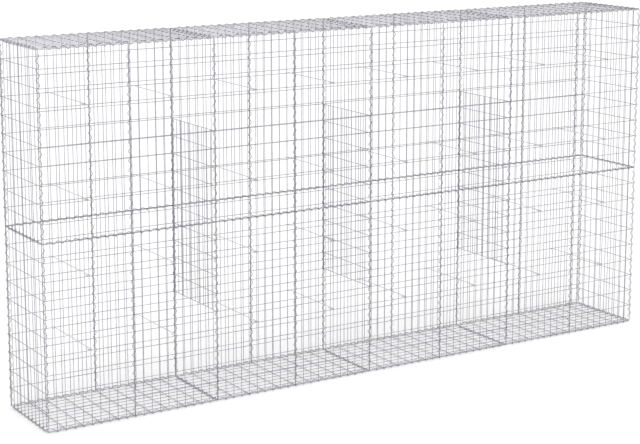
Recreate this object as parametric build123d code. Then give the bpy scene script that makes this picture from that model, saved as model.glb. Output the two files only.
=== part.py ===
from build123d import *

import os
from math import cos, hypot, pi, radians, sin, sqrt

# A gabion wall basket of welded wire mesh: four bays long, two tiers high, one bay deep.
# Millimetres, X along the wall, the front towards -Y, the lowest spirals standing on Z = 0.

# The grid of the wall
BAYS = 4
TIERS = 2
MODULE_SHORT = 500.0  # the depth of the basket and the width of an upright panel
PANELS_PER_BAY = 2  # upright panels side by side in a bay, which is as long as a tier is high
CELLS = 10  # mesh openings along either side of a panel
PANEL_CLEARANCE = 0.6  # between neighbouring panels

# The mesh wire, drawn as a square bar of the same area as the round wire
WIRE_DIAMETER = 3.5
WELD_SINK_SHARE = 0.2  # of the bar's side, by which crossing wires are pressed into each other

# The spiral binders
SPIRAL_WIRE_DIAMETER = 3.0
SPIRAL_INNER_RADIUS = 7.3
SEAT = 0.3  # between a piece and the wire it bears on

# The tie wires between front and back, one on the middle wire of each upright panel
TIE_WIRE_DIAMETER = 4.0
TIE_HOOK_RADIUS = 6.0  # inside the bend
TIE_TAIL = 35.0
TIE_ROWS = ((4, 8), (2, 7))  # cross wires of a panel that carry the ties, for each tier

SQUARE_SIDE = sqrt(pi) / 2
BAR = WIRE_DIAMETER * SQUARE_SIDE
SPIRAL_BAR = SPIRAL_WIRE_DIAMETER * SQUARE_SIDE
TIE_BAR = TIE_WIRE_DIAMETER * SQUARE_SIDE

MODULE_LONG = PANELS_PER_BAY * MODULE_SHORT
HALF_LENGTH = BAYS * MODULE_LONG / 2
HALF_DEPTH = MODULE_SHORT / 2
HEIGHT = TIERS * MODULE_LONG
SEAMS = BAYS * PANELS_PER_BAY  # the last upright seam, counted from 0 at the left end

PANEL_LONG = MODULE_LONG - PANEL_CLEARANCE
PANEL_SHORT = MODULE_SHORT - PANEL_CLEARANCE
LONG_SPACING = (PANEL_LONG - BAR) / CELLS
SHORT_SPACING = (PANEL_SHORT - BAR) / CELLS
THICKNESS = (2 - WELD_SINK_SHARE) * BAR
FACE_OFFSET = PANEL_CLEARANCE / 2
OUTER_FACE = FACE_OFFSET + THICKNESS
EDGE_REACH = FACE_OFFSET + BAR

# A spiral makes one turn in each mesh opening and stops half a turn short of its seam's ends
SPIRAL_PITCH = MODULE_SHORT / CELLS
SPIRAL_RADIUS = SPIRAL_INNER_RADIUS + SPIRAL_BAR / 2
TURN_LENGTH = hypot(2 * pi * SPIRAL_RADIUS, SPIRAL_PITCH)
LEAD_SINE = SPIRAL_PITCH / TURN_LENGTH
LEAD_COSINE = 2 * pi * SPIRAL_RADIUS / TURN_LENGTH
SPIRAL_OUTER_RADIUS = hypot(SPIRAL_RADIUS + SPIRAL_BAR / 2, SPIRAL_BAR / 2 * LEAD_SINE)
SEAT_RADIUS = SPIRAL_INNER_RADIUS - SEAT

# Where a seam is crossed by outer wires, the spiral rides over each of them to this far from the seam
WIRE_DRIFT = (SPIRAL_PITCH - SHORT_SPACING) * (CELLS / 2 - 1)
RIDE_LENGTH = BAR / 2 + SPIRAL_BAR / 2 / LEAD_COSINE + WIRE_DRIFT
RIDE_REACH = SPIRAL_INNER_RADIUS * sin(radians(360 * RIDE_LENGTH / SPIRAL_PITCH))

# How far outside the basket's nominal faces the spirals' axes lie: on the flat seams between
# upright panels, on all other flat seams, on the upright corners, and along the base's and
# lid's edges at the faces and at the ends
UPRIGHT_LEVEL = OUTER_FACE - sqrt(SEAT_RADIUS**2 - EDGE_REACH**2)
CROSS_LEVEL = OUTER_FACE - sqrt(SEAT_RADIUS**2 - RIDE_REACH**2)
CORNER_LEVEL = OUTER_FACE - sqrt(SEAT_RADIUS**2 - (EDGE_REACH + CROSS_LEVEL) ** 2)
FACE_EDGE_LEVEL = sqrt(SEAT_RADIUS**2 - (OUTER_FACE - CROSS_LEVEL) ** 2) - EDGE_REACH
END_EDGE_LEVEL = EDGE_REACH - sqrt(SEAT_RADIUS**2 - (EDGE_REACH + CROSS_LEVEL) ** 2)

BASE_LEVEL = SPIRAL_OUTER_RADIUS + CROSS_LEVEL
TOP_LEVEL = BASE_LEVEL + HEIGHT
SIDES = (-1, 1)
FACES = tuple(zip(("front", "back"), SIDES))
ENDS = tuple(zip(("left", "right"), SIDES))
TIER_NAMES = ("lower", "upper")


def wires(plane, spacing, length):
    """A row of parallel square wires, their profiles on the plane's X axis, extruded both ways."""
    with BuildPart() as row:
        with BuildSketch(plane):
            with GridLocations(spacing, 1, CELLS + 1, 1):
                Rectangle(BAR, BAR)
        extrude(amount=length / 2, both=True)
    return row.part


def mesh_panel():
    """A panel lying flat: its long wires, along X, are welded on top of its cross wires."""
    cross_plane = Plane(origin=(0, 0, BAR / 2), x_dir=(1, 0, 0), z_dir=(0, -1, 0))
    long_plane = Plane(origin=(0, 0, THICKNESS - BAR / 2), x_dir=(0, 1, 0), z_dir=(1, 0, 0))
    panel = wires(cross_plane, LONG_SPACING, PANEL_SHORT) + wires(long_plane, SHORT_SPACING, PANEL_LONG)
    return panel.solid()


def spiral(module):
    """A spiral binder for a seam one module long, wound up from the XY plane, its first point on +X."""
    path = Helix(pitch=SPIRAL_PITCH, height=module - SPIRAL_PITCH, radius=SPIRAL_RADIUS)
    profile = Plane(origin=path @ 0, x_dir=(1, 0, 0), z_dir=path % 0) * Rectangle(SPIRAL_BAR, SPIRAL_BAR)
    return sweep(profile, path=path, is_frenet=True).solid()


def tie_wire():
    """A tie along Y, bent round an outer wire at either end, its tails turned back inside."""
    bend = TIE_HOOK_RADIUS + TIE_BAR / 2
    grip = sqrt((TIE_HOOK_RADIUS - SEAT) ** 2 - (BAR / 2) ** 2)
    reach = HALF_DEPTH + OUTER_FACE - grip
    tail = reach - TIE_TAIL
    with BuildPart() as tie:
        with BuildLine() as path:
            Line((-bend, -tail), (-bend, -reach))
            ThreePointArc((-bend, -reach), (0, -reach - bend), (bend, -reach))
            Line((bend, -reach), (bend, reach))
            ThreePointArc((bend, reach), (0, reach + bend), (-bend, reach))
            Line((-bend, reach), (-bend, tail))
        with BuildSketch(Plane(origin=path.line @ 0, x_dir=(1, 0, 0), z_dir=path.line % 0)):
            Rectangle(TIE_BAR, TIE_BAR)
        sweep(path=path.line)
    return tie.part.solid()


PANEL = mesh_panel()
BAY_SPIRAL = spiral(MODULE_LONG)
DEPTH_SPIRAL = spiral(MODULE_SHORT)
TIE = tie_wire()


def placed(solid, origin, x_dir, z_dir):
    """A copy of a solid with its own X and Z axes turned to the given directions."""
    return solid.moved(Plane(origin=origin, x_dir=x_dir, z_dir=z_dir).location)


def tier_middle(tier):
    """The height of the middle of a tier."""
    return BASE_LEVEL + (tier + 0.5) * MODULE_LONG


def bay_middle(bay):
    """The middle of a bay along the wall."""
    return (bay + 0.5) * MODULE_LONG - HALF_LENGTH


def column_middle(column):
    """The middle of a column of upright panels along the wall."""
    return (column + 0.5) * MODULE_SHORT - HALF_LENGTH


def face_panels(side, tier, bay):
    """The upright panels of one bay of the front or back, side by side."""
    panels = []
    for column in range(bay * PANELS_PER_BAY, (bay + 1) * PANELS_PER_BAY):
        x = column_middle(column)
        origin = (x, side * (HALF_DEPTH + FACE_OFFSET), tier_middle(tier))
        panels.append(placed(PANEL, origin, (0, 0, 1), (0, side, 0)))
    return panels


def end_panel(side, tier):
    """The upright panel that closes an end of one tier."""
    origin = (side * (HALF_LENGTH + FACE_OFFSET), 0, tier_middle(tier))
    return placed(PANEL, origin, (0, 0, 1), (side, 0, 0))


def level_panel(bay, height, side):
    """The panel of the base or the lid under or over one bay."""
    origin = (bay_middle(bay), 0, height + side * FACE_OFFSET)
    return placed(PANEL, origin, (1, 0, 0), (0, 0, side))


def partition_panel(seam):
    """The panel that crosses the basket at a seam between two bays, halfway between base and lid."""
    origin = (seam - THICKNESS / 2, 0, BASE_LEVEL + HEIGHT / 2)
    return placed(PANEL, origin, (0, 0, 1), (1, 0, 0))


def upright_spirals(side, tier):
    """The spirals on the upright seams of the front or back of one tier, corners included."""
    spirals = []
    foot = BASE_LEVEL + tier * MODULE_LONG + SPIRAL_PITCH / 2
    for seam in range(SEAMS + 1):
        x = seam * MODULE_SHORT - HALF_LENGTH
        inward = (0, -side, 0)
        y = HALF_DEPTH + UPRIGHT_LEVEL
        if seam in (0, SEAMS):
            end = 1 if seam else -1
            x = end * (HALF_LENGTH + CROSS_LEVEL)
            y = HALF_DEPTH + CORNER_LEVEL
            inward = (-end, -side, 0)
        spirals.append(placed(BAY_SPIRAL, (x, side * y, foot), inward, (0, 0, 1)))
    return spirals


def ring_spirals(height, face_level, end_level, rise):
    """The spirals round the basket at one height; rise turns them to a base (-1) or a lid (1)."""
    spirals = []
    for side in SIDES:
        for bay in range(BAYS):
            x = bay * MODULE_LONG - HALF_LENGTH + SPIRAL_PITCH / 2
            origin = (x, side * (HALF_DEPTH + face_level), height)
            spirals.append(placed(BAY_SPIRAL, origin, (0, -side, -rise), (1, 0, 0)))
    for end in SIDES:
        origin = (end * (HALF_LENGTH + end_level), SPIRAL_PITCH / 2 - HALF_DEPTH, height)
        spirals.append(placed(DEPTH_SPIRAL, origin, (-end, 0, -rise), (0, 1, 0)))
    return spirals


def cross_spirals(height, rise):
    """The spirals that join the base or lid panels of neighbouring bays."""
    spirals = []
    for bay in range(1, BAYS):
        origin = (bay * MODULE_LONG - HALF_LENGTH, SPIRAL_PITCH / 2 - HALF_DEPTH, height)
        spirals.append(placed(DEPTH_SPIRAL, origin, (0, 0, -rise), (0, 1, 0)))
    return spirals


def tie_wires(tier):
    """The ties of one tier, each lying on a cross wire beside the middle wire of its panels."""
    ties = []
    for row in TIE_ROWS[tier]:
        wire_top = BASE_LEVEL + tier * MODULE_LONG + FACE_OFFSET + BAR + row * LONG_SPACING
        for column in range(SEAMS):
            origin = (column_middle(column), 0, wire_top + SEAT + TIE_BAR / 2)
            ties.append(placed(TIE, origin, (1, 0, 0), (0, 0, 1)))
    return ties


nodes = {}
for tier, tier_name in enumerate(TIER_NAMES):
    for face, side in FACES:
        for bay in range(BAYS):
            nodes[f"{face}_{tier_name}_bay_{bay + 1}"] = face_panels(side, tier, bay)
        nodes[f"{face}_{tier_name}_upright_spirals"] = upright_spirals(side, tier)
    for end, side in ENDS:
        nodes[f"{end}_end_{tier_name}"] = [end_panel(side, tier)]
    nodes[f"tie_wires_{tier_name}"] = tie_wires(tier)
for bay in range(BAYS):
    nodes[f"base_bay_{bay + 1}"] = [level_panel(bay, BASE_LEVEL, -1)]
    nodes[f"lid_bay_{bay + 1}"] = [level_panel(bay, TOP_LEVEL, 1)]
for bay in range(1, BAYS):
    nodes[f"partition_{bay}"] = [partition_panel(bay * MODULE_LONG - HALF_LENGTH)]
BASE_SEAM = BASE_LEVEL - CROSS_LEVEL
MIDDLE_SEAM = BASE_LEVEL + MODULE_LONG
LID_SEAM = TOP_LEVEL + CROSS_LEVEL
nodes["base_edge_spirals"] = ring_spirals(BASE_SEAM, FACE_EDGE_LEVEL, END_EDGE_LEVEL, -1)
nodes["base_cross_spirals"] = cross_spirals(BASE_SEAM, -1)
nodes["middle_spirals"] = ring_spirals(MIDDLE_SEAM, CROSS_LEVEL, CROSS_LEVEL, 0)
nodes["lid_edge_spirals"] = ring_spirals(LID_SEAM, FACE_EDGE_LEVEL, END_EDGE_LEVEL, 1)
nodes["lid_cross_spirals"] = cross_spirals(LID_SEAM, 1)

os.makedirs("parts", exist_ok=True)
for name, solids in nodes.items():
    export_step(Compound(label=name, children=solids), f"parts/{name}.step", write_pcurves=False)
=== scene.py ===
"""A gabion wall basket of galvanised welded mesh: panels, spiral binders and tie wires in round wire."""

import logging
import math
from collections.abc import Iterator
from contextlib import contextmanager
from dataclasses import dataclass, field
from enum import Enum

import bpy
from mathutils import Matrix, Vector


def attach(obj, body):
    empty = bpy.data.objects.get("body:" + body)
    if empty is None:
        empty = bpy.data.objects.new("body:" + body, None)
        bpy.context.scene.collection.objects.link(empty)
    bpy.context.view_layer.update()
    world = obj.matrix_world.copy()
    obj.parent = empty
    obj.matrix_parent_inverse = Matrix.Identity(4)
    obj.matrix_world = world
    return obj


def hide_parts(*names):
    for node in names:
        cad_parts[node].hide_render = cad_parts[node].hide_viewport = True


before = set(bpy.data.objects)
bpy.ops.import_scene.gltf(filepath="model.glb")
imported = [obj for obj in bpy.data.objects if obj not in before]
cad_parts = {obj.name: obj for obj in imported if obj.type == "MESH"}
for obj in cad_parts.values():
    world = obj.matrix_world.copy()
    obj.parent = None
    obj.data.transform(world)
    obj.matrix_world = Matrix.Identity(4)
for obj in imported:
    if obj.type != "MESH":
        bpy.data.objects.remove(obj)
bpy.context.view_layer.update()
BODY = "root"
MM = 0.001
TIER_NAMES = ("lower", "upper")
QUAD_CORNERS = 4
FACING = 0.9

logging.basicConfig(level=logging.INFO, format="%(message)s")
log = logging.getLogger("gabion")

Triple = tuple[float, float, float]


def deselect_all() -> None:
    """Leaves object mode with nothing selected and nothing active."""
    if bpy.context.object is not None and bpy.context.object.mode != "OBJECT":
        bpy.ops.object.mode_set(mode="OBJECT")
    bpy.ops.object.select_all(action="DESELECT")
    bpy.context.view_layer.objects.active = None


def select_only(*objects: bpy.types.Object) -> None:
    """Selects just these objects and makes the first one active.

    Args:
        objects: The objects to select.
    """
    deselect_all()
    for obj in objects:
        obj.select_set(True)
    bpy.context.view_layer.objects.active = objects[0]


@contextmanager
def editing(obj: bpy.types.Object, mode: str) -> Iterator[None]:
    """Opens an object's mesh in edit mode with nothing selected, and closes it again.

    Args:
        obj: The object to edit.
        mode: What is selected: VERT, EDGE or FACE.
    """
    select_only(obj)
    bpy.ops.object.mode_set(mode="EDIT")
    bpy.ops.mesh.select_mode(type=mode)
    bpy.ops.mesh.select_all(action="DESELECT")
    yield
    bpy.ops.object.mode_set(mode="OBJECT")
    deselect_all()


def pick_faces(obj: bpy.types.Object, normal: Triple) -> None:
    """Selects the flat end faces that look the given way, in edit mode.

    Args:
        obj: The object being edited.
        normal: The direction the faces look.
    """
    bpy.ops.object.mode_set(mode="OBJECT")
    for polygon in obj.data.polygons:
        is_end = len(polygon.vertices) > QUAD_CORNERS
        polygon.select = is_end and polygon.normal.dot(Vector(normal)) > FACING
    bpy.ops.object.mode_set(mode="EDIT")


def settle(obj: bpy.types.Object) -> None:
    """Puts an object's place, turn and size into its mesh, and leaves it selected.

    Args:
        obj: The object to settle.
    """
    select_only(obj)
    bpy.ops.object.transform_apply(location=True, rotation=True, scale=True)


def add_row(obj: bpy.types.Object, count: int, step: Triple) -> None:
    """Repeats a mesh in a row and applies it.

    Args:
        obj: The object to repeat.
        count: How many there are in the row.
        step: From each to the next.
    """
    select_only(obj)
    bpy.ops.object.modifier_add(type="ARRAY")
    row = obj.modifiers[-1]
    row.count = count
    row.use_relative_offset = False
    row.use_constant_offset = True
    row.constant_offset_displace = step
    bpy.ops.object.modifier_apply(modifier=row.name)


def joined(parts: list[bpy.types.Object], name: str) -> bpy.types.Object:
    """Joins several objects into one.

    Args:
        parts: The objects to join.
        name: The name of the result.

    Returns:
        The joined object.
    """
    select_only(*parts)
    if len(parts) > 1:
        bpy.ops.object.join()
    whole = parts[0]
    whole.name = name
    whole.data.name = name
    return whole


def smoothed(obj: bpy.types.Object, angle: float) -> bpy.types.Object:
    """Shades a round wire smooth and leaves its cut ends sharp.

    Args:
        obj: The object to shade.
        angle: The angle in degrees past which an edge stays sharp.

    Returns:
        The same object.
    """
    select_only(obj)
    bpy.ops.object.shade_smooth_by_angle(angle=math.radians(angle))
    return obj


class Side(Enum):
    """A side of the basket, by the way it looks out."""

    FRONT = (0, -1, 0)
    BACK = (0, 1, 0)
    LEFT = (-1, 0, 0)
    RIGHT = (1, 0, 0)
    BASE = (0, 0, -1)
    LID = (0, 0, 1)

    @property
    def out(self) -> Vector:
        """The outward direction."""
        return Vector(self.value)

    @property
    def sign(self) -> int:
        """Which end of its axis the side is on."""
        return int(sum(self.value))


FACES = (Side.FRONT, Side.BACK)
ENDS = (Side.LEFT, Side.RIGHT)
UP = Vector((0, 0, 1))
ALONG = Vector((1, 0, 0))
ACROSS = Vector((0, 1, 0))


def turned(origin: Vector, x_dir: Vector, z_dir: Vector) -> Matrix:
    """The matrix that puts a master's own X and Z axes along two directions.

    Args:
        origin: Where the master's origin goes.
        x_dir: Where its X axis points.
        z_dir: Where its Z axis points.

    Returns:
        The placing matrix.
    """
    z_axis = z_dir.normalized()
    x_axis = x_dir.normalized()
    y_axis = z_axis.cross(x_axis)
    turn = Matrix((x_axis, y_axis, z_axis)).transposed().to_4x4()
    return Matrix.Translation(origin) @ turn


@dataclass(frozen=True)
class ZincFinish:
    """Hot-dip galvanised wire: a grey zinc skin with spangle, dull patches and fine drawing marks."""

    name: str
    bright: Triple = (0.49, 0.48, 0.53)
    dull: Triple = (0.34, 0.33, 0.38)
    chalk: Triple = (0.61, 0.60, 0.64)
    metallic: float = 0.85
    roughness_low: float = 0.34
    roughness_high: float = 0.58
    spangle_per_metre: float = 160.0
    patches_per_metre: float = 9.0
    patch_detail: float = 5.0
    patch_roughness: float = 0.62
    patch_start: float = 0.52
    patch_full: float = 0.74
    grain_per_spangle: float = 5.0
    bump: float = 0.25
    bump_depth: float = 0.1 * MM

    def material(self) -> bpy.types.Material:
        """Builds the finish.

        Returns:
            The material.
        """
        made = bpy.data.materials.new(self.name)
        made.use_nodes = True
        nodes = made.node_tree.nodes
        links = made.node_tree.links
        shader = nodes["Principled BSDF"]
        shader.inputs["Metallic"].default_value = self.metallic
        place = nodes.new("ShaderNodeTexCoord")

        spangle = nodes.new("ShaderNodeTexVoronoi")
        spangle.inputs["Scale"].default_value = self.spangle_per_metre
        links.new(place.outputs["Object"], spangle.inputs["Vector"])
        grey = nodes.new("ShaderNodeSeparateColor")
        links.new(spangle.outputs["Color"], grey.inputs["Color"])
        skin = nodes.new("ShaderNodeMix")
        skin.data_type = "RGBA"
        skin.inputs["A"].default_value = (*self.dull, 1)
        skin.inputs["B"].default_value = (*self.bright, 1)
        links.new(grey.outputs["Red"], skin.inputs["Factor"])

        patches = nodes.new("ShaderNodeTexNoise")
        patches.inputs["Scale"].default_value = self.patches_per_metre
        patches.inputs["Detail"].default_value = self.patch_detail
        patches.inputs["Roughness"].default_value = self.patch_roughness
        links.new(place.outputs["Object"], patches.inputs["Vector"])
        spread = nodes.new("ShaderNodeMapRange")
        spread.inputs["From Min"].default_value = self.patch_start
        spread.inputs["From Max"].default_value = self.patch_full
        links.new(patches.outputs["Fac"], spread.inputs["Value"])
        weathered = nodes.new("ShaderNodeMix")
        weathered.data_type = "RGBA"
        weathered.inputs["B"].default_value = (*self.chalk, 1)
        links.new(spread.outputs["Result"], weathered.inputs["Factor"])
        links.new(skin.outputs["Result"], weathered.inputs["A"])
        links.new(weathered.outputs["Result"], shader.inputs["Base Color"])

        gloss = nodes.new("ShaderNodeMapRange")
        gloss.inputs["To Min"].default_value = self.roughness_low
        gloss.inputs["To Max"].default_value = self.roughness_high
        links.new(patches.outputs["Fac"], gloss.inputs["Value"])
        links.new(gloss.outputs["Result"], shader.inputs["Roughness"])

        grain = nodes.new("ShaderNodeTexNoise")
        grain.inputs["Scale"].default_value = self.spangle_per_metre * self.grain_per_spangle
        links.new(place.outputs["Object"], grain.inputs["Vector"])
        relief = nodes.new("ShaderNodeBump")
        relief.inputs["Strength"].default_value = self.bump
        relief.inputs["Distance"].default_value = self.bump_depth
        links.new(grain.outputs["Fac"], relief.inputs["Height"])
        links.new(relief.outputs["Normal"], shader.inputs["Normal"])
        return made


@dataclass(frozen=True)
class RoundWire:
    """A round wire, drawn with a few flat sides that hold the round section's area."""

    diameter: float
    sides: int = 8

    @property
    def corner_radius(self) -> float:
        """From the wire's middle to a corner of its drawn section."""
        share = self.sides * math.sin(2 * math.pi / self.sides) / (2 * math.pi)
        return self.diameter / 2 / math.sqrt(share)


@dataclass
class BasketPlan:
    """The sizes that the basket's pieces share, in metres, as in the solids."""

    bays: int = 4
    tiers: int = 2
    module_short: float = 0.5
    panels_per_bay: int = 2
    cells: int = 10
    panel_clearance: float = 0.6 * MM
    mesh_wire: RoundWire = RoundWire(3.5 * MM)
    spiral_wire: RoundWire = RoundWire(3.0 * MM)
    tie_wire: RoundWire = RoundWire(4.0 * MM)
    weld_sink_share: float = 0.2
    spiral_inner_radius: float = 7.3 * MM
    seat: float = 0.3 * MM
    tie_rows: tuple[tuple[int, int], ...] = ((4, 8), (2, 7))

    def bar(self, wire: RoundWire) -> float:
        """The side of the square bar that stands for a wire in the solids."""
        return wire.diameter * math.sqrt(math.pi) / 2

    @property
    def module_long(self) -> float:
        """The length of a bay and the height of a tier."""
        return self.panels_per_bay * self.module_short

    @property
    def seams(self) -> int:
        """The last upright seam, counted from 0 at the left end."""
        return self.bays * self.panels_per_bay

    @property
    def mesh_bar(self) -> float:
        """The side of the mesh wire's square bar."""
        return self.bar(self.mesh_wire)

    @property
    def thickness(self) -> float:
        """The thickness of a panel, two wires less the weld."""
        return (2 - self.weld_sink_share) * self.mesh_bar

    @property
    def face_offset(self) -> float:
        """From the basket's nominal face to the inner side of a panel."""
        return self.panel_clearance / 2

    @property
    def long_spacing(self) -> float:
        """Between neighbouring cross wires."""
        return (self.module_long - self.panel_clearance - self.mesh_bar) / self.cells

    @property
    def short_spacing(self) -> float:
        """Between neighbouring long wires."""
        return (self.module_short - self.panel_clearance - self.mesh_bar) / self.cells

    @property
    def half_length(self) -> float:
        """Half the wall's nominal length."""
        return self.bays * self.module_long / 2

    @property
    def half_depth(self) -> float:
        """Half the wall's nominal depth."""
        return self.module_short / 2

    def bay_middle(self, bay: int) -> float:
        """The middle of a bay along the wall."""
        return (bay + 0.5) * self.module_long - self.half_length

    def column_middle(self, column: int) -> float:
        """The middle of a column of upright panels along the wall."""
        return (column + 0.5) * self.module_short - self.half_length

    @property
    def spiral_pitch(self) -> float:
        """The advance of a spiral in one turn."""
        return self.module_short / self.cells

    @property
    def outer_face(self) -> float:
        """From the nominal face to the outer side of a panel."""
        return self.face_offset + self.thickness

    @property
    def edge_reach(self) -> float:
        """From a seam's middle to the far side of an edge wire."""
        return self.face_offset + self.mesh_bar


@dataclass
class SpiralLevels:
    """How far outside the basket's nominal faces the axes of the spirals lie."""

    plan: BasketPlan
    radius: float = field(init=False)
    outer_radius: float = field(init=False)
    upright: float = field(init=False)
    cross: float = field(init=False)
    corner: float = field(init=False)
    face_edge: float = field(init=False)
    end_edge: float = field(init=False)
    base: float = field(init=False)
    top: float = field(init=False)

    def __post_init__(self) -> None:
        """Works the levels out from the plan, as the solids do."""
        plan = self.plan
        bar = plan.bar(plan.spiral_wire)
        self.radius = plan.spiral_inner_radius + bar / 2
        turn = math.hypot(2 * math.pi * self.radius, plan.spiral_pitch)
        self.outer_radius = math.hypot(self.radius + bar / 2, bar / 2 * plan.spiral_pitch / turn)
        held = plan.spiral_inner_radius - plan.seat
        drift = (plan.spiral_pitch - plan.short_spacing) * (plan.cells / 2 - 1)
        lead = 2 * math.pi * self.radius / turn
        ride = plan.mesh_bar / 2 + bar / 2 / lead + drift
        reach = plan.spiral_inner_radius * math.sin(2 * math.pi * ride / plan.spiral_pitch)
        self.upright = plan.outer_face - math.sqrt(held**2 - plan.edge_reach**2)
        self.cross = plan.outer_face - math.sqrt(held**2 - reach**2)
        hang = math.sqrt(held**2 - (plan.edge_reach + self.cross) ** 2)
        self.corner = plan.outer_face - hang
        self.end_edge = plan.edge_reach - hang
        self.face_edge = math.sqrt(held**2 - (plan.outer_face - self.cross) ** 2) - plan.edge_reach
        self.base = self.outer_radius + self.cross
        self.top = self.base + plan.tiers * plan.module_long


@dataclass
class MeshPanel:
    """A welded panel lying flat, its long wires along X on top of its cross wires."""

    plan: BasketPlan
    end_chamfer: float = 0.5 * MM
    weld_width: float = 5.2 * MM
    weld_height: float = 2.6 * MM
    smooth_angle: float = 50.0

    def wire(self, length: float, spot: Triple, turn: Triple) -> bpy.types.Object:
        """One straight wire with its cropped ends rounded over.

        Args:
            length: The wire's length.
            spot: The wire's middle.
            turn: The wire's turn from upright.

        Returns:
            The wire.
        """
        deselect_all()
        size = self.plan.mesh_wire
        bpy.ops.mesh.primitive_cylinder_add(
            vertices=size.sides, radius=size.corner_radius, depth=length, location=spot, rotation=turn
        )
        wire = bpy.context.object
        with editing(wire, "FACE"):
            for way in ((0, 0, 1), (0, 0, -1)):
                pick_faces(wire, way)
                bpy.ops.mesh.bevel(offset=self.end_chamfer, segments=1, affect="EDGES")
                bpy.ops.mesh.select_all(action="DESELECT")
        settle(wire)
        return wire

    def weld(self, spot: Triple) -> bpy.types.Object:
        """The lump of pressed metal where two wires are welded.

        Args:
            spot: The weld's middle.

        Returns:
            The weld.
        """
        deselect_all()
        bpy.ops.mesh.primitive_ico_sphere_add(subdivisions=1, radius=self.weld_width / 2, location=spot)
        lump = bpy.context.object
        with editing(lump, "VERT"):
            bpy.ops.mesh.select_all(action="SELECT")
            bpy.ops.transform.resize(
                value=(1, 1, self.weld_height / self.weld_width), center_override=spot
            )
        settle(lump)
        return lump

    def model(self) -> bpy.types.Object:
        """Builds the master panel.

        Returns:
            The panel, with its inner side at Z = 0.
        """
        plan = self.plan
        bar = plan.mesh_bar
        long = plan.module_long - plan.panel_clearance
        short = plan.module_short - plan.panel_clearance
        first_x = (bar - long) / 2
        first_y = (bar - short) / 2
        count = plan.cells + 1
        half_turn = math.pi / 2
        longs = self.wire(long, (0, first_y, plan.thickness - bar / 2), (0, half_turn, 0))
        add_row(longs, count, (0, plan.short_spacing, 0))
        crosses = self.wire(short, (first_x, 0, bar / 2), (half_turn, 0, 0))
        add_row(crosses, count, (plan.long_spacing, 0, 0))
        welds = self.weld((first_x, first_y, plan.thickness / 2))
        add_row(welds, count, (plan.long_spacing, 0, 0))
        add_row(welds, count, (0, plan.short_spacing, 0))
        return smoothed(joined([longs, crosses, welds], "panel_master"), self.smooth_angle)


@dataclass
class SpiralBinder:
    """A spiral binder wound up from Z = 0, its first point on +X."""

    plan: BasketPlan
    levels: SpiralLevels
    steps: int = 14
    smooth_angle: float = 60.0

    def model(self, module: float) -> bpy.types.Object:
        """Winds the spiral for a seam one module long.

        Args:
            module: The length of the seam.

        Returns:
            The spiral.
        """
        size = self.plan.spiral_wire
        pitch = self.plan.spiral_pitch
        radius = self.levels.outer_radius - size.corner_radius
        lead = math.atan2(pitch, 2 * math.pi * radius)
        deselect_all()
        bpy.ops.mesh.primitive_circle_add(
            vertices=size.sides,
            radius=size.corner_radius,
            location=(radius, 0, 0),
            rotation=(math.pi / 2 + lead, 0, 0),
        )
        coil = bpy.context.object
        settle(coil)
        bpy.ops.object.modifier_add(type="SCREW")
        screw = coil.modifiers[-1]
        screw.axis = "Z"
        screw.angle = 2 * math.pi
        screw.screw_offset = pitch
        screw.iterations = round(module / pitch) - 1
        screw.steps = self.steps
        screw.render_steps = self.steps
        bpy.ops.object.modifier_apply(modifier=screw.name)
        with editing(coil, "VERT"):
            bpy.ops.mesh.select_non_manifold()
            bpy.ops.mesh.edge_face_add()
            bpy.ops.mesh.select_all(action="SELECT")
            bpy.ops.mesh.normals_make_consistent(inside=False)
        coil.name = f"spiral_master_{round(module / MM)}"
        return smoothed(coil, self.smooth_angle)


@dataclass
class TieWire:
    """A tie along Y, bent round an outer wire at either end with its tails turned back inside."""

    plan: BasketPlan
    hook_radius: float = 6.0 * MM
    tail: float = 35 * MM
    bend_steps: int = 9
    smooth_angle: float = 60.0

    def model(self) -> bpy.types.Object:
        """Draws the tie out from its front tail, bend by bend.

        Returns:
            The tie.
        """
        plan = self.plan
        size = plan.tie_wire
        bend = self.hook_radius + plan.bar(size) / 2
        grip = math.sqrt((self.hook_radius - plan.seat) ** 2 - (plan.mesh_bar / 2) ** 2)
        reach = plan.half_depth + plan.outer_face - grip
        deselect_all()
        bpy.ops.mesh.primitive_circle_add(
            vertices=size.sides,
            radius=size.corner_radius,
            fill_type="NGON",
            location=(-bend, self.tail - reach, 0),
            rotation=(math.pi / 2, 0, 0),
        )
        tie = bpy.context.object
        settle(tie)
        with editing(tie, "FACE"):
            bpy.ops.mesh.select_all(action="SELECT")
            self.run(-self.tail)
            self.turn((0, -reach, 0))
            self.run(2 * reach)
            self.turn((0, reach, 0))
            self.run(-self.tail)
            bpy.ops.mesh.select_all(action="SELECT")
            bpy.ops.mesh.normals_make_consistent(inside=False)
        tie.name = "tie_master"
        return smoothed(tie, self.smooth_angle)

    def run(self, length: float) -> None:
        """Draws the wire's end straight on along Y.

        Args:
            length: How far it goes, towards the back if positive.
        """
        bpy.ops.mesh.extrude_region_move(TRANSFORM_OT_translate={"value": (0, length, 0)})

    def turn(self, middle: Triple) -> None:
        """Bends the wire's end half round.

        Args:
            middle: The middle of the bend.
        """
        bpy.ops.mesh.spin(steps=self.bend_steps, angle=math.pi, center=middle, axis=(0, 0, 1))


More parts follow.
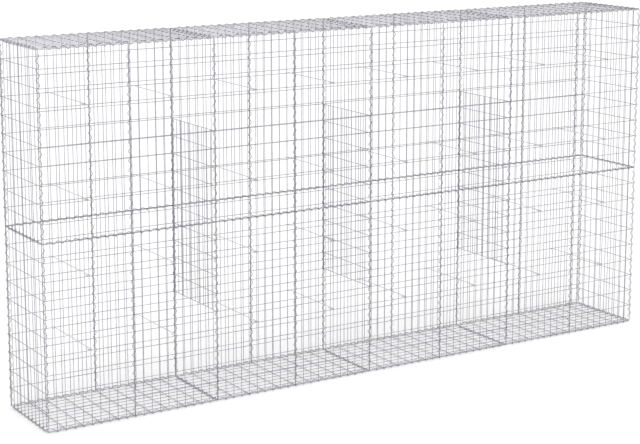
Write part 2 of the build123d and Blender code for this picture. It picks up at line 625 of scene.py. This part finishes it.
@dataclass
class Gabion:
    """The whole basket: it places copies of the masters for each named piece."""

    plan: BasketPlan
    levels: SpiralLevels
    mesh_finish: ZincFinish
    spiral_finish_painted_shade: ZincFinish
    tie_finish: ZincFinish
    made: dict[str, bpy.types.Object] = field(default_factory=dict)

    def build(self) -> None:
        """Builds every piece in order, then removes the masters."""
        plan = self.plan
        panel = MeshPanel(plan).model()
        binder = SpiralBinder(plan, self.levels)
        bay_spiral = binder.model(plan.module_long)
        depth_spiral = binder.model(plan.module_short)
        tie = TieWire(plan).model()
        self.panels(panel)
        self.upright_spirals(bay_spiral)
        self.level_spirals(bay_spiral, depth_spiral)
        self.ties(tie)
        for master in (panel, bay_spiral, depth_spiral, tie):
            bpy.data.objects.remove(master)

    def piece(
        self,
        node: str,
        master: bpy.types.Object,
        places: list[Matrix],
        dress: bpy.types.Material,
        slot: str,
    ) -> None:
        """Makes the piece that stands for one node, from a copy of a master at each place.

        Args:
            node: The node's name.
            master: The master to copy.
            places: Where the copies go.
            dress: The material.
            slot: Passed on to add, where it is not used.
        """
        self.add(node, self.copies(master, places), dress, slot)

    def copies(self, master: bpy.types.Object, places: list[Matrix]) -> list[bpy.types.Object]:
        """Copies of a master, each with its own mesh already in its place.

        Args:
            master: The master to copy.
            places: Where the copies go.

        Returns:
            The copies.
        """
        found = []
        for place in places:
            copy = master.copy()
            copy.data = master.data.copy()
            bpy.context.scene.collection.objects.link(copy)
            copy.data.transform(place)
            found.append(copy)
        return found

    def add(
        self, node: str, parts: list[bpy.types.Object], dress: bpy.types.Material, slot: str
    ) -> None:
        """Joins the parts of a piece and hands it to the frame.

        Args:
            node: The node's name.
            parts: The objects that make up the piece.
            dress: The material.
            slot: Not used.
        """
        whole = joined(parts, f"{node}_wire")
        whole.data.materials.clear()
        whole.data.materials.append(dress)
        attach(whole, BODY)
        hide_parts(node)
        self.made[node] = whole
        triangles = sum(len(face.vertices) - 2 for face in whole.data.polygons)
        log.info("%s: %d triangles", whole.name, triangles)

    def panels(self, panel: bpy.types.Object) -> None:
        """Places the faces, ends, base, lid and partitions."""
        plan, levels = self.plan, self.levels
        dress = self.mesh_finish.material()
        for tier, tier_name in enumerate(TIER_NAMES):
            middle = levels.base + (tier + 0.5) * plan.module_long
            for side in FACES:
                y = side.sign * (plan.half_depth + plan.face_offset)
                for bay in range(plan.bays):
                    first = bay * plan.panels_per_bay
                    places = []
                    for column in range(first, first + plan.panels_per_bay):
                        spot = Vector((plan.column_middle(column), y, middle))
                        places.append(turned(spot, UP, side.out))
                    node = f"{side.name.lower()}_{tier_name}_bay_{bay + 1}"
                    self.piece(node, panel, places, dress, "mesh_wire")
            for side in ENDS:
                x = side.sign * (plan.half_length + plan.face_offset)
                place = turned(Vector((x, 0, middle)), UP, side.out)
                self.piece(f"{side.name.lower()}_end_{tier_name}", panel, [place], dress, "mesh_wire")
        for side, height in ((Side.BASE, levels.base), (Side.LID, levels.top)):
            for bay in range(plan.bays):
                spot = Vector((plan.bay_middle(bay), 0, height + side.sign * plan.face_offset))
                place = turned(spot, ALONG, side.out)
                self.piece(f"{side.name.lower()}_bay_{bay + 1}", panel, [place], dress, "mesh_wire")
        for bay in range(1, plan.bays):
            seam = bay * plan.module_long - plan.half_length
            spot = Vector((seam - plan.thickness / 2, 0, levels.base + plan.module_long))
            self.piece(f"partition_{bay}", panel, [turned(spot, UP, ALONG)], dress, "mesh_wire")

    def upright_spirals(self, spiral: bpy.types.Object) -> None:
        """Places the spirals on the upright seams of the faces, corners included."""
        plan, levels = self.plan, self.levels
        # The spiral finish's darker colours are painted shade for the coils.
        dress = self.spiral_finish_painted_shade.material()
        for tier, tier_name in enumerate(TIER_NAMES):
            foot = levels.base + tier * plan.module_long + plan.spiral_pitch / 2
            for side in FACES:
                places = []
                for seam in range(plan.seams + 1):
                    x = seam * plan.module_short - plan.half_length
                    y = plan.half_depth + levels.upright
                    inward = -side.out
                    if seam in (0, plan.seams):
                        end = 1 if seam else -1
                        x = end * (plan.half_length + levels.cross)
                        y = plan.half_depth + levels.corner
                        inward = Vector((-end, -side.sign, 0))
                    places.append(turned(Vector((x, side.sign * y, foot)), inward, UP))
                node = f"{side.name.lower()}_{tier_name}_upright_spirals"
                self.piece(node, spiral, places, dress, "spiral_wire")

    def level_spirals(self, bay_spiral: bpy.types.Object, depth_spiral: bpy.types.Object) -> None:
        """Places the spirals round the base, the middle and the lid, and across base and lid."""
        plan, levels = self.plan, self.levels
        # The spiral finish's darker colours are painted shade for the coils.
        dress = bpy.data.materials[self.spiral_finish_painted_shade.name]
        base_seam = levels.base - levels.cross
        lid_seam = levels.top + levels.cross
        rings = (
            ("base_edge_spirals", base_seam, levels.face_edge, levels.end_edge, -1),
            ("middle_spirals", levels.base + plan.module_long, levels.cross, levels.cross, 0),
            ("lid_edge_spirals", lid_seam, levels.face_edge, levels.end_edge, 1),
        )
        start = plan.spiral_pitch / 2
        for node, height, face_level, end_level, rise in rings:
            runs = []
            for side in FACES:
                y = side.sign * (plan.half_depth + face_level)
                for bay in range(plan.bays):
                    x = bay * plan.module_long - plan.half_length + start
                    runs.append(turned(Vector((x, y, height)), -side.out - rise * UP, ALONG))
            caps = []
            for side in ENDS:
                x = side.sign * (plan.half_length + end_level)
                spot = Vector((x, start - plan.half_depth, height))
                caps.append(turned(spot, -side.out - rise * UP, ACROSS))
            parts = self.copies(bay_spiral, runs) + self.copies(depth_spiral, caps)
            self.add(node, parts, dress, "spiral_wire")
        crossings = (("base_cross_spirals", base_seam, -1), ("lid_cross_spirals", lid_seam, 1))
        for node, height, rise in crossings:
            places = []
            for bay in range(1, plan.bays):
                x = bay * plan.module_long - plan.half_length
                spot = Vector((x, start - plan.half_depth, height))
                places.append(turned(spot, -rise * UP, ACROSS))
            self.piece(node, depth_spiral, places, dress, "spiral_wire")

    def ties(self, tie: bpy.types.Object) -> None:
        """Places the ties, each lying on a cross wire beside the middle wire of its panels."""
        plan, levels = self.plan, self.levels
        dress = self.tie_finish.material()
        rest = plan.face_offset + plan.mesh_bar + plan.seat + plan.bar(plan.tie_wire) / 2
        for tier, tier_name in enumerate(TIER_NAMES):
            places = []
            for row in plan.tie_rows[tier]:
                z = levels.base + tier * plan.module_long + row * plan.long_spacing + rest
                for column in range(plan.seams):
                    places.append(Matrix.Translation((plan.column_middle(column), 0, z)))
            self.piece(f"tie_wires_{tier_name}", tie, places, dress, "tie_wire")


@dataclass
class Studio:
    """A pale floor, soft light, a white surround and the camera."""

    floor_size: float = 240.0
    floor_colour: Triple = (0.93, 0.93, 0.93)
    floor_roughness: float = 0.9
    floor_specular: float = 0.1
    floor_lift: float = 0.2
    ambient: float = 0.70
    sun_strength: float = 0.95
    sun_width: float = 60.0
    sun_spot: Triple = (-4, -6, 8)
    sun_tilt: float = 32.0
    sun_turn: float = -28.0
    camera_spot: Triple = (-5.2492, -8.1442, 3.0079)
    camera_yaw: float = 31.899
    camera_pitch: float = 10.0
    lens: float = 95.411
    sensor_width: float = 36.0
    shift_y: float = -0.12
    view_reach: float = 400.0

    def build(self) -> None:
        """Builds the surround, the lights and the camera."""
        self.floor()
        self.world()
        self.lights()
        self.camera()

    def in_view(self, tree: bpy.types.NodeTree) -> bpy.types.NodeSocket:
        """Adds nodes that tell a view from light: 1 for the camera, a reflection or a view through.

        Args:
            tree: The material's or world's node tree.

        Returns:
            The socket that gives 1 or 0.
        """
        path = tree.nodes.new("ShaderNodeLightPath")
        found = path.outputs["Is Camera Ray"]
        for ray in ("Is Glossy Ray", "Is Transmission Ray"):
            either = tree.nodes.new("ShaderNodeMath")
            either.operation = "MAXIMUM"
            tree.links.new(found, either.inputs[0])
            tree.links.new(path.outputs[ray], either.inputs[1])
            found = either.outputs["Value"]
        return found

    def floor(self) -> None:
        """A wide plain floor under the basket, lifted to white where the camera sees it unshadowed."""
        deselect_all()
        bpy.ops.mesh.primitive_plane_add(size=self.floor_size, location=(0, 0, 0))
        floor = bpy.context.object
        floor.name = "studio_floor"
        paint = bpy.data.materials.new("studio_floor_paint")
        paint.use_nodes = True
        shader = paint.node_tree.nodes["Principled BSDF"]
        shader.inputs["Base Color"].default_value = (*self.floor_colour, 1)
        shader.inputs["Roughness"].default_value = self.floor_roughness
        shader.inputs["Specular IOR Level"].default_value = self.floor_specular
        shader.inputs["Emission Color"].default_value = (1, 1, 1, 1)
        lift = paint.node_tree.nodes.new("ShaderNodeMath")
        lift.operation = "MULTIPLY"
        lift.inputs[1].default_value = self.floor_lift
        paint.node_tree.links.new(self.in_view(paint.node_tree), lift.inputs[0])
        paint.node_tree.links.new(lift.outputs["Value"], shader.inputs["Emission Strength"])
        floor.data.materials.append(paint)

    def world(self) -> None:
        """Soft light from all round, and plain white where the camera or a reflection looks."""
        world = bpy.data.worlds.new("studio_surround")
        bpy.context.scene.world = world
        world.use_nodes = True
        nodes = world.node_tree.nodes
        links = world.node_tree.links
        nodes.clear()
        soft = nodes.new("ShaderNodeBackground")
        soft.inputs["Color"].default_value = (1, 1, 1, 1)
        soft.inputs["Strength"].default_value = self.ambient
        white = nodes.new("ShaderNodeBackground")
        white.inputs["Color"].default_value = (1, 1, 1, 1)
        white.inputs["Strength"].default_value = 1.0
        choice = nodes.new("ShaderNodeMixShader")
        links.new(self.in_view(world.node_tree), choice.inputs["Fac"])
        links.new(soft.outputs["Background"], choice.inputs[1])
        links.new(white.outputs["Background"], choice.inputs[2])
        out = nodes.new("ShaderNodeOutputWorld")
        links.new(choice.outputs["Shader"], out.inputs["Surface"])

    def lights(self) -> None:
        """One wide soft key light from the front left."""
        deselect_all()
        turn = (math.radians(self.sun_tilt), 0, math.radians(self.sun_turn))
        bpy.ops.object.light_add(type="SUN", location=self.sun_spot, rotation=turn)
        key = bpy.context.object
        key.name = "studio_key"
        key.data.energy = self.sun_strength
        key.data.angle = math.radians(self.sun_width)

    def camera(self) -> None:
        """The camera at the photograph's viewing angle."""
        deselect_all()
        turn = (math.radians(90 - self.camera_pitch), 0, math.radians(-self.camera_yaw))
        bpy.ops.object.camera_add(location=self.camera_spot, rotation=turn)
        camera = bpy.context.object
        camera.name = "studio_camera"
        camera.data.lens = self.lens
        camera.data.sensor_width = self.sensor_width
        camera.data.shift_y = self.shift_y
        camera.data.clip_end = self.view_reach
        bpy.context.scene.camera = camera


def main() -> None:
    """Builds the basket and its studio."""
    bpy.context.scene.view_settings.view_transform = "Standard"
    plan = BasketPlan()
    levels = SpiralLevels(plan)
    basket = Gabion(
        plan=plan,
        levels=levels,
        mesh_finish=ZincFinish("galvanised_mesh_wire"),
        # Same galvanised zinc as the mesh wire, but its colours are set darker: painted shade that
        # stands in for the shadow inside the coils. Its roughness is set lower too.
        spiral_finish_painted_shade=ZincFinish(
            "galvanised_spiral_wire",
            bright=(0.38, 0.37, 0.41),
            dull=(0.20, 0.19, 0.22),
            chalk=(0.50, 0.49, 0.52),
            roughness_low=0.24,
            roughness_high=0.45,
        ),
        tie_finish=ZincFinish(
            "galvanised_tie_wire",
            bright=(0.68, 0.67, 0.70),
            dull=(0.52, 0.51, 0.54),
            chalk=(0.74, 0.73, 0.75),
        ),
    )
    basket.build()
    Studio().build()


if __name__ == "__main__":
    main()
